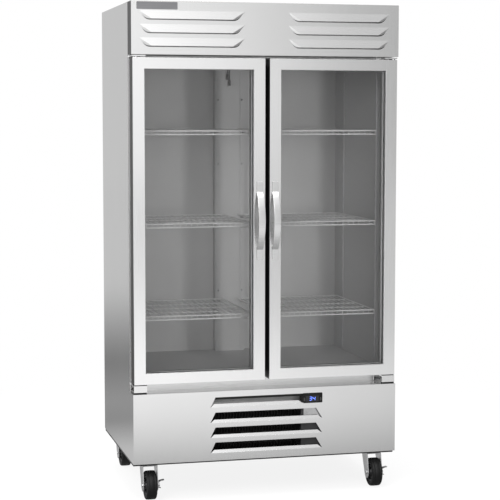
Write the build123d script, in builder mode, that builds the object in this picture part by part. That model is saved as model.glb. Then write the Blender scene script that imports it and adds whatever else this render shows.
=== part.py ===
from build123d import *
import os
from math import cos, radians, sin

os.makedirs("parts", exist_ok=True)

# A two-door glass door merchandiser on casters. +Z up, +Y towards the back, +X to the right as seen
# from the front. The origin is on the floor, under the centre of the object's box. Millimetres.

# ---- driving dimensions ----
WIDTH = 1194.0  # side panel to side panel
DEPTH = 809.0  # door face to back panel
BODY_HEIGHT = 1991.0  # side panels, bottom edge to top
GROUND_GAP = 168.0  # floor to the side panels' bottom edge
HANDLE_OUT = 45.0  # bow handle, in front of the door face
DOOR_DEPTH = 91.0  # door face to the body's front, gasket included
SKIN = 1.2  # outer sheet metal
LINER = 1.5  # inner sheet metal

# ---- levels above the floor ----
TOP = GROUND_GAP + BODY_HEIGHT
GRILLE_TOP = 474.5
DOOR_LOW, DOOR_HIGH = 516.0, 1921.0
HEADER_LOW = 1933.5
BOX_LOW = 476.0  # underside of the insulated box
FLOOR_Z = 540.0  # inside floor
SOFFIT_Z = 1893.0  # top of the door opening
CEILING_Z = 2099.0
FRAME_LOW = 157.0  # underside of the base frame
DECK_Z = 172.5  # top of the machine deck
SURROUND_LOW = 392.0  # lower edge of the door surround, behind the grille

# ---- planes, front to back ----
FRONT = -(DEPTH + HANDLE_OUT) / 2 + HANDLE_OUT
BACK = FRONT + DEPTH
BODY_FRONT = FRONT + DOOR_DEPTH
LINER_FRONT = BODY_FRONT + SKIN
LINER_BACK = 373.0
HEADER_BEAM_BACK = -245.0
DUCT_FRONT = 323.0

# ---- half widths ----
HALF = WIDTH / 2
SHEET_IN = HALF - SKIN
INSIDE = 546.0
DUCT_HALF = 71.5
MULLION_HALF, MULLION_FLANGE = 25.0, 46.0
MULLION_BACK = -222.0

# ---- doors ----
DOOR_OUTER, DOOR_INNER = HALF - 5.2, 10.2  # distances of a door's two edges from the middle
STILE, RAIL = 50.5, 48.0
LIP = 6.8
FRAME_BACK = BODY_FRONT - 12.0
GASKET_BACK = BODY_FRONT - 0.3
GASKET_INSET, GASKET_WIDTH = 14.0, 18.0
GROOVE_FRONT, GROOVE_BACK, GROOVE_DEPTH = FRONT + 8.0, FRONT + 32.0, 12.0
PANE = 4.0
PIN_X, PIN_Y, PIN_R = DOOR_OUTER - GASKET_INSET, FRONT + 15.0, 5.0
RUNNING = 0.05  # radial clearance of every pin and shaft
PIN_BORE = 24.0
HANDLE_X, HANDLE_Z, HANDLE_LENGTH = 34.5, 1218.5, 340.0
HANDLE_WIDE, HANDLE_NARROW, HANDLE_THICK = 30.5, 26.0, 6.0
HANDLE_TAB, TAB_THICK = 50.0, 4.0

# ---- header louvres: front outlines are trapezoids, wide at the top ----
LOUVRE_SPANS = ((-566.0, -101.0, -512.0, -158.0), (94.0, 554.0, 146.0, 499.0))
LOUVRE_TOPS = (2118.5, 2061.5, 2004.5)
LOUVRE_HEIGHT, LOUVRE_OUT = 35.0, 12.0
LOUVRE_SLOPE = 22.0  # a lip's end to the foot of its end wall
LOUVRE_ROUND = 35.0  # radius of the lower corners
LOUVRE_GAP = 4.5  # the opening shows this far below the lip

# ---- grille slots: wide at the bottom, each with a lower lip bent inward ----
SLOT_TOPS = (448.0, 381.0, 314.5, 248.0)
SLOT_HEIGHTS = (43.5, 46.0, 46.0, 47.0)
SLOT_TOP_X = (-233.5, 225.3)
SLOT_LOW_X = (-256.2, 253.5)
FIRST_SLOT_END = 165.0
BLADE_LENGTH, BLADE_ANGLE = 15.5, 26.0
BLADE_TAPER = 19.0  # how much narrower a blade's tip is at each end

# ---- controller ----
CONTROL_X, CONTROL_Z = (165.0, 254.0), (404.5, 449.0)
SCREEN_X, SCREEN_Z = (177.0, 237.0), (411.0, 436.0)
BUTTON_X = (170.5, 246.0)
BUTTON_SIZE = (7.0, 8.0, 14.0)
BUTTON_Z = 421.0
CONTROL_OUT = 2.5

# ---- shelves ----
SHELF_LEVELS = {"bottom": 794.5, "middle": 1201.5, "top": 1608.5}
SHELF_X = (36.0, 536.5)
SHELF_Y = (-252.0, 312.5)
SHELF_DROP = 16.0
ROD_R, CROSS_R, WIRE_R = 3.0, 2.75, 1.5
WIRE_COUNT = 19
CROSS_COUNT = 3
PILASTER_WIDE, PILASTER_DEEP = 16.0, 5.0
PILASTER_Z = (551.0, 1885.0)
PILASTER_FRONT_Y, PILASTER_REAR_Y = -240.0, 236.0
PILASTER_DUCT_X = 58.0
SLOT_PITCH = 50.8

# ---- casters ----
WHEEL_R, WHEEL_WIDE = 63.5, 46.0
TYRE_ROUND = 7.0
HUB_R, HUB_WIDE, HUB_DISC = 42.0, 51.0, 38.0
CASTER_X = HALF - 81.0
CASTER_FRONT_Y, CASTER_REAR_Y = -294.0, 370.0
TRAIL = 35.0  # the axle stands this far in front of the swivel
PLATE_THICK, PLATE_GAP, FORK_THICK = 3.5, 4.0, 3.5
FORK_HALF = 33.5
CROWN_TOP = FRAME_LOW - PLATE_THICK - PLATE_GAP
AXLE_R, KING_R = 5.0, 6.0

# ---- machine compartment ----
COIL_X, COIL_Y, COIL_Z = (-232.0, 166.0), (-280.0, -234.0), (186.0, 446.0)
FAN_X, FAN_Z, FAN_R = -33.0, 312.0, 112.0
COMPRESSOR_X, COMPRESSOR_Y = -60.0, 120.0
EVAP_FAN_Y, EVAP_PAN_Z = -80.0, 1905.0


def slab(x, y, z, mode=Mode.ADD):
    """A block between two corners, given as pairs, in the part being built."""
    centre = (sum(x) / 2, sum(y) / 2, sum(z) / 2)
    with Locations(centre):
        Box(abs(x[1] - x[0]), abs(y[1] - y[0]), abs(z[1] - z[0]), mode=mode)


def rod(start, end, radius, mode=Mode.ADD):
    """A round rod between two points that lie along one axis, in the part being built."""
    start, end = Vector(*start), Vector(*end)
    along = end - start
    with Locations(Plane(origin=start, z_dir=along.normalized())):
        Cylinder(radius, along.length, align=(Align.CENTER, Align.CENTER, Align.MIN), mode=mode)


def write(builder, label):
    """Names a finished piece and writes it to its own file."""
    builder.part.label = label
    export_step(builder.part, f"parts/{label}.step")


def pair(side, near, far):
    """Two distances from the middle, as X values on the side -1 (left) or 1 (right)."""
    return (side * near, side * far)


# ---- outer skin ----
for side, name in ((-1, "left_side_panel"), (1, "right_side_panel")):
    with BuildPart() as side_panel:
        slab(pair(side, SHEET_IN, HALF), (BODY_FRONT, BACK), (GROUND_GAP, TOP))
    write(side_panel, name)

with BuildPart() as top_panel:
    slab((-SHEET_IN, SHEET_IN), (BODY_FRONT, BACK), (TOP - SKIN, TOP))
write(top_panel, "top_panel")

GUARD_Y = (BACK - 7.2, BACK - 6.0)
GUARD_SLOT_COLUMNS, GUARD_SLOT_ROWS = 4, 9
GLAND_X, GLAND_Z = -480.0, 200.0
with BuildPart() as back_panels:
    slab((-SHEET_IN, SHEET_IN), (BACK - SKIN, BACK), (BOX_LOW, TOP - SKIN))
    slab((-SHEET_IN, SHEET_IN), GUARD_Y, (DECK_Z, BOX_LOW - 1.0))
    with Locations((0, sum(GUARD_Y) / 2, 330.0)):
        with Locations(Plane.XZ):
            with GridLocations(260.0, 22.0, GUARD_SLOT_COLUMNS, GUARD_SLOT_ROWS):
                Box(200.0, 9.0, 4 * SKIN, mode=Mode.SUBTRACT)
    rod((GLAND_X, GUARD_Y[0] - 1, GLAND_Z), (GLAND_X, BACK, GLAND_Z), 11.0, Mode.SUBTRACT)
write(back_panels, "back_panels")

with BuildPart() as cord_gland:
    for near, far, radius in (
        (BACK - 20, BACK - 0.5, 10.5),
        (GUARD_Y[1], BACK - 1.0, 15.0),
        (BACK - 16, GUARD_Y[0], 14.0),
    ):
        rod((GLAND_X, near, GLAND_Z), (GLAND_X, far, GLAND_Z), radius)
    rod((GLAND_X, BACK - 21, GLAND_Z), (GLAND_X, BACK, GLAND_Z), 5.0, Mode.SUBTRACT)
write(cord_gland, "cord_gland")

# ---- insulated box ----
with BuildPart() as insulation_foam:
    slab((-SHEET_IN, SHEET_IN), (LINER_FRONT, BACK - SKIN), (BOX_LOW, TOP - SKIN))
    outside = INSIDE + LINER
    slab(
        (-outside, outside),
        (LINER_FRONT, LINER_BACK + LINER),
        (FLOOR_Z - LINER, SOFFIT_Z + LINER),
        Mode.SUBTRACT,
    )
    slab(
        (-outside, outside),
        (HEADER_BEAM_BACK - LINER, LINER_BACK + LINER),
        (SOFFIT_Z, CEILING_Z + LINER),
        Mode.SUBTRACT,
    )
write(insulation_foam, "insulation_foam")

with BuildPart() as inner_liner:
    for side in (-1, 1):
        with BuildSketch(Plane.YZ.offset(side * (INSIDE + LINER / 2))):
            Polygon(
                (LINER_FRONT, FLOOR_Z - LINER),
                (LINER_BACK + LINER, FLOOR_Z - LINER),
                (LINER_BACK + LINER, CEILING_Z + LINER),
                (HEADER_BEAM_BACK - LINER, CEILING_Z + LINER),
                (HEADER_BEAM_BACK - LINER, SOFFIT_Z + LINER),
                (LINER_FRONT, SOFFIT_Z + LINER),
                align=None,
            )
        extrude(amount=LINER / 2, both=True)
inner = (-INSIDE, INSIDE)
liner_sheets = (
    ((LINER_FRONT, LINER_BACK + LINER), (FLOOR_Z - LINER, FLOOR_Z)),
    ((HEADER_BEAM_BACK - LINER, LINER_BACK + LINER), (CEILING_Z, CEILING_Z + LINER)),
    ((LINER_BACK, LINER_BACK + LINER), (FLOOR_Z, CEILING_Z)),
    ((HEADER_BEAM_BACK - LINER, HEADER_BEAM_BACK), (SOFFIT_Z, CEILING_Z)),
    ((LINER_FRONT, HEADER_BEAM_BACK - LINER), (SOFFIT_Z, SOFFIT_Z + LINER)),
)


def block(x, y, z):
    """A block of its own, between two corners."""
    with BuildPart() as lone:
        slab(x, y, z)
    return lone


def write_group(builders, label):
    """Writes several finished solids as one named group."""
    solids = [solid for builder in builders for solid in builder.part.solids()]
    group = Compound(solids)
    group.label = label
    export_step(group, f"parts/{label}.step")


write_group([inner_liner] + [block(inner, y, z) for y, z in liner_sheets], "inner_liner")

surround_y = (BODY_FRONT, BODY_FRONT + SKIN)
write_group(
    [
        block((-SHEET_IN, -INSIDE), surround_y, (SURROUND_LOW, TOP - SKIN)),
        block((INSIDE, SHEET_IN), surround_y, (SURROUND_LOW, TOP - SKIN)),
        block(inner, surround_y, (SURROUND_LOW, FLOOR_Z)),
        block(inner, surround_y, (SOFFIT_Z, TOP - SKIN)),
    ],
    "door_surround",
)

with BuildPart() as centre_mullion:
    slab((-MULLION_FLANGE, MULLION_FLANGE), (BODY_FRONT, BODY_FRONT + 9), (FLOOR_Z, SOFFIT_Z))
    slab((-MULLION_HALF, MULLION_HALF), (BODY_FRONT + 9, MULLION_BACK), (FLOOR_Z, SOFFIT_Z))
    vertical = centre_mullion.edges().filter_by(Axis.Z).group_by(Axis.Y)[0]
    fillet(vertical, 3.0)
write(centre_mullion, "centre_mullion")

with BuildPart() as rear_air_duct:
    with BuildSketch(Plane.XY.offset(FLOOR_Z)):
        with BuildLine():
            Polyline(
                (-DUCT_HALF, LINER_BACK),
                (-DUCT_HALF, DUCT_FRONT),
                (DUCT_HALF, DUCT_FRONT),
                (DUCT_HALF, LINER_BACK),
                (DUCT_HALF - SKIN, LINER_BACK),
                (DUCT_HALF - SKIN, DUCT_FRONT + SKIN),
                (-DUCT_HALF + SKIN, DUCT_FRONT + SKIN),
                (-DUCT_HALF + SKIN, LINER_BACK),
                close=True,
            )
        make_face()
    extrude(amount=EVAP_PAN_Z - FLOOR_Z)
write(rear_air_duct, "rear_air_duct")

# ---- shelf pilasters and clips ----


def pilaster(plane):
    """A slotted U strip that stands on the given plane, its slots 50.8 mm apart."""
    length = PILASTER_Z[1] - PILASTER_Z[0]
    slots = int(length // SLOT_PITCH)
    with BuildPart() as strip:
        with BuildSketch(plane):
            Rectangle(PILASTER_WIDE, length)
        extrude(amount=PILASTER_DEEP)
        with BuildSketch(plane):
            Rectangle(PILASTER_WIDE - 2 * SKIN, length)
        extrude(amount=PILASTER_DEEP - SKIN, mode=Mode.SUBTRACT)
        with BuildSketch(plane.offset(PILASTER_DEEP - SKIN)):
            with GridLocations(1.0, SLOT_PITCH, 1, slots):
                Rectangle(4.0, 12.0)
        extrude(amount=SKIN, mode=Mode.SUBTRACT)
    return strip


middle_z = sum(PILASTER_Z) / 2
up = Vector(0, 0, 1)
pilasters = []
for side in (-1, 1):
    inward = Vector(-side, 0, 0)
    wall_x = side * INSIDE
    for y in (PILASTER_FRONT_Y, PILASTER_REAR_Y):
        wall = Plane((wall_x, y, middle_z), x_dir=inward.cross(up) * -1, z_dir=inward)
        pilasters.append(pilaster(wall))
    outward = Vector(side, 0, 0)
    post = Plane(
        (side * MULLION_HALF, PILASTER_FRONT_Y, middle_z), x_dir=outward.cross(up) * -1, z_dir=outward
    )
    duct = Plane((side * PILASTER_DUCT_X, DUCT_FRONT, middle_z), x_dir=(1, 0, 0), z_dir=(0, -1, 0))
    pilasters += [pilaster(post), pilaster(duct)]
write_group(pilasters, "shelf_pilasters")

CLIP_WIDE, CLIP_HIGH, CLIP_REACH, CLIP_GAP = 13.0, 14.0, 10.0, 0.1


def clip(origin, outward):
    """A wedge-shaped clip on a pilaster's face; its flat top carries a shelf rod."""
    with BuildPart() as wedge:
        with BuildSketch(Plane(origin, x_dir=outward, z_dir=Vector(*outward).cross(up))):
            Polygon((0, 0), (CLIP_REACH, 0), (CLIP_REACH, -3), (0, -CLIP_HIGH), align=None)
        extrude(amount=CLIP_WIDE / 2, both=True)
    return wedge


clips = []
for level in SHELF_LEVELS.values():
    z = level - ROD_R - CLIP_GAP
    for side in (-1, 1):
        wall_x = side * (INSIDE - PILASTER_DEEP)
        post_x = side * (MULLION_HALF + PILASTER_DEEP)
        clips.append(clip((wall_x, PILASTER_FRONT_Y, z), (-side, 0, 0)))
        clips.append(clip((wall_x, PILASTER_REAR_Y, z), (-side, 0, 0)))
        clips.append(clip((post_x, PILASTER_FRONT_Y, z), (side, 0, 0)))
        clips.append(clip((side * PILASTER_DUCT_X, DUCT_FRONT - PILASTER_DEEP, z), (0, -1, 0)))
write_group(clips, "shelf_clips")


shelf_gap = (SHELF_Y[1] - SHELF_Y[0]) / (CROSS_COUNT + 1)
wire_gap = (SHELF_X[1] - SHELF_X[0]) / (WIRE_COUNT + 1)
first_level = SHELF_LEVELS["bottom"]
low_level = first_level - SHELF_DROP
with BuildPart() as wire_shelf:
    rod((SHELF_X[0], SHELF_Y[0], first_level), (SHELF_X[1], SHELF_Y[0], first_level), ROD_R)
    rod((SHELF_X[0], SHELF_Y[1], first_level), (SHELF_X[1], SHELF_Y[1], first_level), ROD_R)
    rod((SHELF_X[0], SHELF_Y[0], low_level), (SHELF_X[1], SHELF_Y[0], low_level), ROD_R)
    for x in SHELF_X:
        rod((x, SHELF_Y[0], first_level), (x, SHELF_Y[1], first_level), ROD_R)
        rod((x, SHELF_Y[0], low_level), (x, SHELF_Y[0], first_level), ROD_R)
        with Locations(
            (x, SHELF_Y[0], first_level),
            (x, SHELF_Y[1], first_level),
            (x, SHELF_Y[0], low_level),
        ):
            Sphere(ROD_R)
    for i in range(1, CROSS_COUNT + 1):
        y = SHELF_Y[0] + i * shelf_gap
        rod((SHELF_X[0], y, first_level - 3.5), (SHELF_X[1], y, first_level - 3.5), CROSS_R)
    for i in range(1, WIRE_COUNT + 1):
        x = SHELF_X[0] + i * wire_gap
        rod((x, SHELF_Y[0], first_level), (x, SHELF_Y[1], first_level), WIRE_R)
        rod((x, SHELF_Y[0], low_level), (x, SHELF_Y[0], first_level), WIRE_R)

for side_name, shift_x in (("left", -sum(SHELF_X)), ("right", 0.0)):
    for level_name, level in SHELF_LEVELS.items():
        with BuildPart() as shelf:
            with Locations((shift_x, 0, level - first_level)):
                add(wire_shelf.part)
        write(shelf, f"shelf_{side_name}_{level_name}")

# ---- header ----


def louvre_wedge(span, top, shrink):
    """The solid of one louvre: wide at its top edge, standing out and narrower at its lip."""
    left, right, lip_left, lip_right = span
    out = LOUVRE_OUT - shrink
    root = shrink / 2
    foot = LOUVRE_SLOPE - shrink
    with BuildPart() as wedge:
        with BuildSketch(Plane.XY.offset(top - LOUVRE_HEIGHT)):
            Polygon(
                (lip_left - foot, FRONT + root),
                (lip_right + foot, FRONT + root),
                (lip_right - shrink, FRONT - out),
                (lip_left + shrink, FRONT - out),
                align=None,
            )
        with BuildSketch(Plane.XY.offset(top - 2 * shrink)):
            Polygon(
                (left + shrink, FRONT + root),
                (right - shrink, FRONT + root),
                (right - 3 - shrink, FRONT - 0.8),
                (left + 3 + shrink, FRONT - 0.8),
                align=None,
            )
        loft(ruled=True)
    return wedge


def louvre_outline(span, high, low, inset_top, front, back):
    """A louvre's front outline, its two lower corners well rounded, as a prism from front to back."""
    left, right, lip_left, lip_right = span
    with BuildPart() as prism:
        with BuildSketch(Plane.XZ.offset(-back)):
            Polygon(
                (lip_left - LOUVRE_SLOPE, low),
                (lip_right + LOUVRE_SLOPE, low),
                (right - inset_top, high),
                (left + inset_top, high),
                align=None,
            )
        extrude(amount=back - front)
        fillet(prism.edges().filter_by(Axis.Y).group_by(Axis.Z)[0], LOUVRE_ROUND)
    return prism


def louvre_shell(span, top):
    """A louvre's outer solid, its lip cut to the rounded outline."""
    low = top - LOUVRE_HEIGHT
    wedge = louvre_wedge(span, top, 0.0).part
    return wedge & louvre_outline(span, top, low, 0.0, FRONT - 2 * LOUVRE_OUT, FRONT + SKIN).part


def louvre_throat(span, top):
    """The opening that is left in the sheet behind a louvre, and shows below its lip."""
    low = top - LOUVRE_HEIGHT - LOUVRE_GAP
    return louvre_outline(span, top - 5, low, 6.0, FRONT, FRONT + 2 * SKIN).part


louvres = [(span, top) for span in LOUVRE_SPANS for top in LOUVRE_TOPS]
shells = [louvre_shell(span, top) for span, top in louvres]
hollows = [louvre_wedge(span, top, SKIN).part for span, top in louvres]
throats = [louvre_throat(span, top) for span, top in louvres]
with BuildPart() as header_panel:
    slab((-HALF, HALF), (FRONT, FRONT + SKIN), (HEADER_LOW, TOP))
    slab((-HALF, HALF), (FRONT, BODY_FRONT), (TOP - SKIN, TOP))
    slab((-HALF, HALF), (FRONT, FRONT + 14), (HEADER_LOW, HEADER_LOW + SKIN))
    add(shells)
    add(hollows, mode=Mode.SUBTRACT)
    add(throats, mode=Mode.SUBTRACT)
write(header_panel, "header_panel")

with BuildPart() as header_end_caps:
    for side in (-1, 1):
        slab(pair(side, HALF - 3, HALF), (FRONT + SKIN, BODY_FRONT), (HEADER_LOW + SKIN, TOP - SKIN))
write(header_end_caps, "header_end_caps")

with BuildPart() as badge_plate:
    slab((-574, -397), (FRONT - 0.8, FRONT), (2123, 2155))
    fillet(badge_plate.edges().filter_by(Axis.Y), 4.0)
write(badge_plate, "badge_plate")

# ---- grille ----


def slot_limits(index):
    """A slot's ends along its top edge and its lower edge, and the level of its lower edge."""
    low = SLOT_TOPS[index] - SLOT_HEIGHTS[index]
    if index == 0:
        return (SLOT_TOP_X[0], FIRST_SLOT_END), (SLOT_LOW_X[0], FIRST_SLOT_END), low
    return SLOT_TOP_X, SLOT_LOW_X, low


def slot_cutter(index):
    """The trapezoid that one slot leaves open in the grille's face."""
    top_x, low_x, low = slot_limits(index)
    high = SLOT_TOPS[index]
    with BuildPart() as cutter:
        with BuildSketch(Plane.XZ.offset(-FRONT)):
            Polygon((top_x[0], high), (low_x[0], low), (low_x[1], low), (top_x[1], high), align=None)
        extrude(amount=-SKIN)
    return cutter.part


def slot_blade(index):
    """The lip along a slot's lower edge, bent inward and up, narrower towards its tip."""
    _, low_x, low = slot_limits(index)
    lean = radians(BLADE_ANGLE)
    tip_y = FRONT + SKIN + BLADE_LENGTH * sin(lean)
    tip_z = low - SKIN + BLADE_LENGTH * cos(lean)
    tip_x = (low_x[0] + BLADE_TAPER, low_x[1] - BLADE_TAPER)
    with BuildPart() as blade:
        with BuildSketch(Plane.YZ.offset(low_x[0])):
            Polygon(
                (FRONT + 0.2, low),
                (FRONT + 0.2, low - SKIN),
                (FRONT + SKIN, low - SKIN),
                (tip_y + SKIN, tip_z - SKIN / 2),
                (tip_y, tip_z),
                align=None,
            )
        extrude(amount=low_x[1] - low_x[0])
        with BuildSketch(Plane.XZ.offset(-FRONT)):
            Polygon(
                (low_x[0], low - SKIN),
                (low_x[1], low - SKIN),
                (tip_x[1], tip_z),
                (tip_x[0], tip_z),
                align=None,
            )
        extrude(amount=-2 * BLADE_LENGTH, mode=Mode.INTERSECT)
    return blade.part


cutters = [slot_cutter(index) for index in range(len(SLOT_TOPS))]
blades = [slot_blade(index) for index in range(len(SLOT_TOPS))]
with BuildPart() as grille_panel:
    slab((-HALF, HALF), (FRONT, FRONT + SKIN), (GROUND_GAP, GRILLE_TOP))
    slab((-HALF, HALF), (FRONT, BODY_FRONT), (GRILLE_TOP - SKIN, GRILLE_TOP))
    slab((-HALF, HALF), (FRONT, FRONT + 20), (GROUND_GAP, GROUND_GAP + SKIN))
    for side in (-1, 1):
        slab(pair(side, SHEET_IN, HALF), (FRONT, BODY_FRONT), (GROUND_GAP, GRILLE_TOP))
    add(cutters, mode=Mode.SUBTRACT)
    add(blades)
    slab(CONTROL_X, (FRONT, FRONT + SKIN), CONTROL_Z, Mode.SUBTRACT)
write(grille_panel, "grille_panel")

# ---- controller ----
CONTROL_FACE = FRONT - CONTROL_OUT
CONTROL_BACK = FRONT + 58.0
SCREEN_DEEP = 3.0
POCKET_DEEP = 10.0
BUTTON_FIT = 0.4
with BuildPart() as controller_housing:
    x_in = (CONTROL_X[0] + 0.6, CONTROL_X[1] - 0.6)
    z_in = (CONTROL_Z[0] + 0.6, CONTROL_Z[1] - 0.6)
    slab(CONTROL_X, (CONTROL_FACE, FRONT), CONTROL_Z)
    fillet(controller_housing.edges().filter_by(Axis.Y), 4.0)
    slab(x_in, (FRONT, CONTROL_BACK), z_in)
    slab(SCREEN_X, (CONTROL_FACE, CONTROL_FACE + SCREEN_DEEP), SCREEN_Z, Mode.SUBTRACT)
    for x in BUTTON_X:
        half_x = BUTTON_SIZE[0] / 2 + BUTTON_FIT
        half_z = BUTTON_SIZE[2] / 2 + BUTTON_FIT
        slab(
            (x - half_x, x + half_x),
            (CONTROL_FACE, CONTROL_FACE + POCKET_DEEP),
            (BUTTON_Z - half_z, BUTTON_Z + half_z),
            Mode.SUBTRACT,
        )
write(controller_housing, "controller_housing")

with BuildPart() as controller_display:
    slab(SCREEN_X, (CONTROL_FACE + 0.5, CONTROL_FACE + SCREEN_DEEP), SCREEN_Z)
write(controller_display, "controller_display")

for x, name in zip(BUTTON_X, ("controller_left_button", "controller_right_button")):
    with BuildPart() as button:
        face = CONTROL_FACE - 0.8
        with Locations((x, face + BUTTON_SIZE[1] / 2, BUTTON_Z)):
            Box(*BUTTON_SIZE)
        fillet(button.edges().filter_by(Axis.Y), 1.5)
        fillet(button.faces().sort_by(Axis.Y)[0].edges(), 0.6)
    write(button, name)

# ---- base frame ----
RAIL_WIDE, WALL = 48.0, 3.0
RAIL_Y = (FRONT + 22.0, BACK - 4.0)
BEAMS = ((RAIL_Y[0] + 2.0, -226.0), (296.0, RAIL_Y[1]))
rail_out = SHEET_IN - 1.2
rail_in = rail_out - RAIL_WIDE
frame_z = (FRAME_LOW, DECK_Z - SKIN)


def channel(x, y, along):
    """An upturned steel channel between two corners, its lips along the given axis."""
    with BuildPart() as beam:
        slab(x, y, frame_z)
        hollow_x = (min(x) + WALL, max(x) - WALL) if along == "y" else x
        hollow_y = (y[0] + WALL, y[1] - WALL) if along == "x" else y
        slab(hollow_x, hollow_y, (FRAME_LOW + WALL, frame_z[1]), Mode.SUBTRACT)
    return beam


write_group(
    [channel(pair(side, rail_in, rail_out), RAIL_Y, "y") for side in (-1, 1)]
    + [channel((-rail_in, rail_in), y, "x") for y in BEAMS]
    + [block((-rail_out, rail_out), RAIL_Y, (DECK_Z - SKIN, DECK_Z))],
    "base_frame",
)

# ---- hinges ----
BRACKET_X = (HALF - 62.0, HALF - 4.0)
BRACKET_Y = (PIN_Y - 12.0, BODY_FRONT)
BRACKET_T = 5.0
BRACKET_TOP = 1964.0
APRON_T, APRON_GAP = 4.0, 8.0


def hinge_bracket(side, plate_z, apron_z, wall_z, pin_z):
    """A plate with a pin, an apron in front, and the flange that screws it to the door surround."""
    with BuildPart() as bracket:
        slab(pair(side, *BRACKET_X), BRACKET_Y, plate_z)
        slab(pair(side, HALF - 72.0, BRACKET_X[1]), (BODY_FRONT - 3.0, BODY_FRONT), wall_z)
        slab(pair(side, *BRACKET_X), (BRACKET_Y[0], BRACKET_Y[0] + APRON_T), apron_z)
        rod((side * PIN_X, PIN_Y, pin_z[0]), (side * PIN_X, PIN_Y, pin_z[1]), PIN_R)
    return bracket


low_plate = (DOOR_LOW - 9.0, DOOR_LOW - 9.0 + BRACKET_T)
high_plate = (DOOR_HIGH + 4.0, DOOR_HIGH + 4.0 + BRACKET_T)
brackets = []
for side in (-1, 1):
    brackets.append(
        hinge_bracket(
            side,
            low_plate,
            (GRILLE_TOP + APRON_GAP, low_plate[1]),
            (GRILLE_TOP + 2.5, low_plate[1]),
            (low_plate[1], DOOR_LOW + 20),
        )
    )
    brackets.append(
        hinge_bracket(
            side, high_plate, high_plate, (high_plate[0], BRACKET_TOP), (DOOR_HIGH - 20, high_plate[0])
        )
    )
for side in (-1, 1):
    for z in ((low_plate[1], DOOR_LOW - 0.3), (DOOR_HIGH + 0.3, high_plate[0])):
        with BuildPart() as washer:
            rod((side * PIN_X, PIN_Y, z[0]), (side * PIN_X, PIN_Y, z[1]), 10.0)
            rod((side * PIN_X, PIN_Y, z[0]), (side * PIN_X, PIN_Y, z[1]), PIN_R, Mode.SUBTRACT)
        brackets.append(washer)
write_group(brackets, "hinge_brackets")

# ---- doors ----
DOOR_Z = (DOOR_LOW, DOOR_HIGH)


def inset(limits, by):
    """A pair of limits, each moved towards the other."""
    return (min(limits) + by, max(limits) - by)


def door_fascia(side):
    """The stainless face of a door: a flat ring with lips turned back on both edges."""
    x = pair(side, DOOR_INNER, DOOR_OUTER)
    with BuildPart() as fascia:
        slab(x, (FRONT, FRONT + LIP), DOOR_Z)
        slab(inset(x, STILE), (FRONT, FRONT + LIP), inset(DOOR_Z, RAIL), Mode.SUBTRACT)
        fillet(fascia.faces().sort_by(Axis.Y)[0].edges(), 1.0)
        slab(inset(x, SKIN), (FRONT + SKIN, FRONT + LIP), inset(DOOR_Z, SKIN), Mode.SUBTRACT)
    return fascia


def door_frame(side):
    """Two moulded stiles and two rails with a groove for the glass; the outer stile has the pin bores."""
    x = pair(side, DOOR_INNER, DOOR_OUTER)
    out_x, out_z = inset(x, SKIN), inset(DOOR_Z, SKIN)
    open_x, open_z = inset(x, STILE), inset(DOOR_Z, RAIL)
    groove_x, groove_z = inset(open_x, -GROOVE_DEPTH), inset(open_z, -GROOVE_DEPTH)
    y = (FRONT + SKIN, FRAME_BACK)
    groove_y = (GROOVE_FRONT, GROOVE_BACK)
    bars = (
        ((out_x[0], open_x[0]), out_z),
        ((open_x[1], out_x[1]), out_z),
        (open_x, (out_z[0], open_z[0])),
        (open_x, (open_z[1], out_z[1])),
    )
    pieces = []
    for bar_x, bar_z in bars:
        with BuildPart() as bar:
            slab(bar_x, y, bar_z)
            slab(groove_x, groove_y, groove_z, Mode.SUBTRACT)
            for z in (DOOR_LOW, DOOR_HIGH):
                low, high = (side * PIN_X, PIN_Y, z - PIN_BORE), (side * PIN_X, PIN_Y, z + PIN_BORE)
                rod(low, high, PIN_R + RUNNING, Mode.SUBTRACT)
        pieces.append(bar)
    return pieces


def door_glass(side):
    """A sealed unit: two panes with four spacer bars between them."""
    open_x = inset(pair(side, DOOR_INNER, DOOR_OUTER), STILE)
    edge_x, edge_z = inset(open_x, 1 - GROOVE_DEPTH), inset(inset(DOOR_Z, RAIL), 1 - GROOVE_DEPTH)
    front, back = GROOVE_FRONT + 0.3, GROOVE_BACK - 0.3
    spacer_y = (front + PANE, back - PANE)
    in_x, in_z = inset(edge_x, 9.0), inset(edge_z, 9.0)
    return [
        block(edge_x, (front, front + PANE), edge_z),
        block(edge_x, (back - PANE, back), edge_z),
        block((edge_x[0] + 2, in_x[0]), spacer_y, inset(edge_z, 2)),
        block((in_x[1], edge_x[1] - 2), spacer_y, inset(edge_z, 2)),
        block(in_x, spacer_y, (edge_z[0] + 2, in_z[0])),
        block(in_x, spacer_y, (in_z[1], edge_z[1] - 2)),
    ]


def door_gasket(side):
    """The magnetic seal, a soft ring between the door and the door surround."""
    ring_x = inset(pair(side, DOOR_INNER, DOOR_OUTER), GASKET_INSET)
    ring_z = inset(DOOR_Z, GASKET_INSET)
    y = (FRAME_BACK, GASKET_BACK)
    with BuildPart() as gasket:
        slab(ring_x, y, ring_z)
        slab(inset(ring_x, GASKET_WIDTH), y, inset(ring_z, GASKET_WIDTH), Mode.SUBTRACT)
        fillet(gasket.faces().sort_by(Axis.Y)[-1].edges(), 3.0)
    return gasket


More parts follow.
